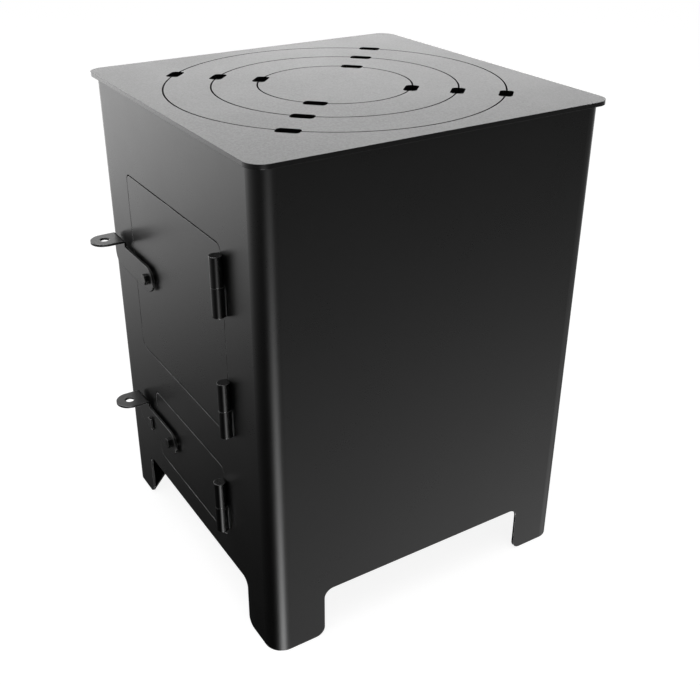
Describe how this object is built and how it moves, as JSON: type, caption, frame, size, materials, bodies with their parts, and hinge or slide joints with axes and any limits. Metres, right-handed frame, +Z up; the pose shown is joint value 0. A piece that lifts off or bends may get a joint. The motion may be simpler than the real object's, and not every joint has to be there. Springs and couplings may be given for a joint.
{
  "type": "outdoor cooking stove",
  "caption": "Square wood-burning cooking stove of bent black steel sheet, with lift-out cooking rings, a fire door and an ash door on weld-on hinges, and swinging latches.",
  "frame": {"origin": "on the ground under the middle of the cooking plate, which is also the middle of the stove's overall box", "axes": "+Z up, the front with the two doors faces -Y, +X to the right as seen from the front"},
  "size_m": [0.45, 0.525, 0.608],
  "materials": {
    "black_enamel": "smooth satin black heat-proof coating",
    "black_plate": "black heat-proof coating with a fine sandy grain",
    "black_hinge": "satin black coating on turned steel",
    "black_fastener": "black oxide steel",
    "black_inside": "matt black coating",
    "bright_steel": "oiled bare steel"
  },
  "bodies": {
    "root": {"ash_floor": "black_inside", "back_grate_rail": "black_inside", "back_panel": "black_enamel", "body_shell": "black_enamel", "cooking_plate": "black_plate", "flue_collar": "black_enamel", "front_grate_rail": "black_inside", "lower_door_stop": "black_enamel", "lower_hinge_pin": "bright_steel", "lower_hinge_wall_half": "black_hinge", "lower_keeper": "black_enamel", "plate_lugs": "black_plate", "upper_door_stop": "black_enamel", "upper_hinge_bottom_pin": "bright_steel", "upper_hinge_bottom_wall_half": "black_hinge", "upper_hinge_top_pin": "bright_steel", "upper_hinge_top_wall_half": "black_hinge"},
    "upper_door": {"upper_door": "black_enamel", "upper_hinge_bottom_door_half": "black_hinge", "upper_hinge_top_door_half": "black_hinge", "upper_pivot_bolt": "black_fastener", "upper_pivot_nut": "black_fastener", "upper_pivot_spacer": "black_fastener"},
    "upper_latch": {"upper_latch_arm": "black_enamel"},
    "lower_door": {"lower_door": "black_enamel", "lower_hinge_door_half": "black_hinge", "lower_pivot_bolt": "black_fastener", "lower_pivot_nut": "black_fastener", "lower_pivot_spacer": "black_fastener"},
    "lower_latch": {"lower_latch_arm": "black_enamel"},
    "outer_ring": {"outer_ring": "black_plate", "outer_ring_lugs": "black_plate"},
    "middle_ring": {"middle_ring": "black_plate", "middle_ring_lugs": "black_plate"},
    "centre_disc": {"centre_disc": "black_plate"},
    "left_grate": {"left_grate": "black_inside"},
    "right_grate": {"right_grate": "black_inside"}
  },
  "joints": [
    {"name": "upper_door_hinge", "type": "hinge", "parent": "root", "child": "upper_door", "pos_m": [0.1348, -0.2263, 0.379], "axis": [0, 0, 1], "range_deg": [0, 150]},
    {"name": "upper_latch_pivot", "type": "hinge", "parent": "upper_door", "child": "upper_latch", "pos_m": [-0.0785, -0.2235, 0.379], "axis": [0, 1, 0], "range_deg": [0, 90]},
    {"name": "lower_door_hinge", "type": "hinge", "parent": "root", "child": "lower_door", "pos_m": [0.1068, -0.2263, 0.1525], "axis": [0, 0, 1], "range_deg": [0, 150]},
    {"name": "lower_latch_pivot", "type": "hinge", "parent": "lower_door", "child": "lower_latch", "pos_m": [-0.0505, -0.2235, 0.1525], "axis": [0, 1, 0], "range_deg": [0, 90]},
    {"name": "outer_ring_lift", "type": "slide", "parent": "root", "child": "outer_ring", "axis": [0, 0, 1], "range_m": [0, 0.08]},
    {"name": "middle_ring_lift", "type": "slide", "parent": "outer_ring", "child": "middle_ring", "axis": [0, 0, 1], "range_m": [0, 0.08]},
    {"name": "centre_disc_lift", "type": "slide", "parent": "middle_ring", "child": "centre_disc", "axis": [0, 0, 1], "range_m": [0, 0.08]},
    {"name": "left_grate_lift", "type": "slide", "parent": "root", "child": "left_grate", "axis": [0, 0, 1], "range_m": [0, 0.06]},
    {"name": "right_grate_lift", "type": "slide", "parent": "root", "child": "right_grate", "axis": [0, 0, 1], "range_m": [0, 0.06]}
  ]
}
